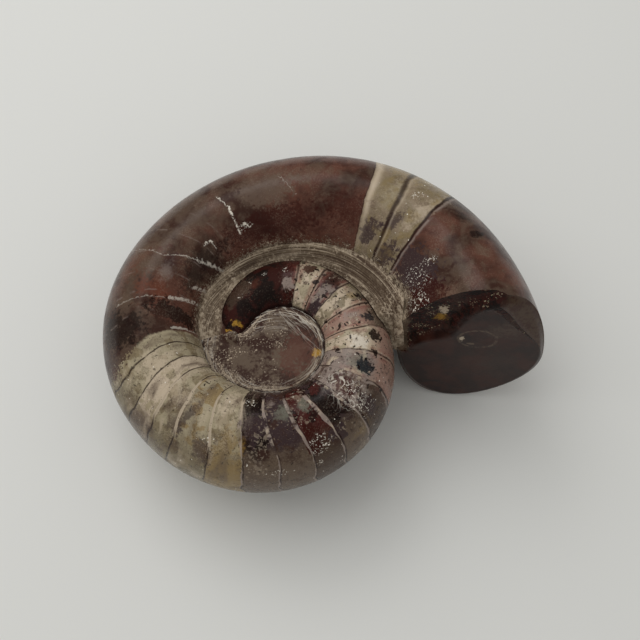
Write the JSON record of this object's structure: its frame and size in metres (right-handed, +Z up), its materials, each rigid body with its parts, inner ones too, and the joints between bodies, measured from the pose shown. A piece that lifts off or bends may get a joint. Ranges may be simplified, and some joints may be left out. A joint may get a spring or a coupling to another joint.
{
  "type": "ammonite fossil",
  "caption": "Polished coiled ammonite fossil lying on its side, with a flat ground mouth and a dished navel.",
  "frame": {"origin": "centre of the bounding box, on the surface that the fossil lies on", "axes": "+X along the fossil's length towards its mouth's outer edge, -Y the way the ground mouth faces, +Z up through the coil's side"},
  "size_m": [0.1308, 0.1046, 0.0611],
  "materials": {
    "polished_stone": "polished brown stone with cream chambers, dull carved navel"
  },
  "bodies": {
    "root": {"ammonite": "polished_stone"}
  },
  "joints": []
}
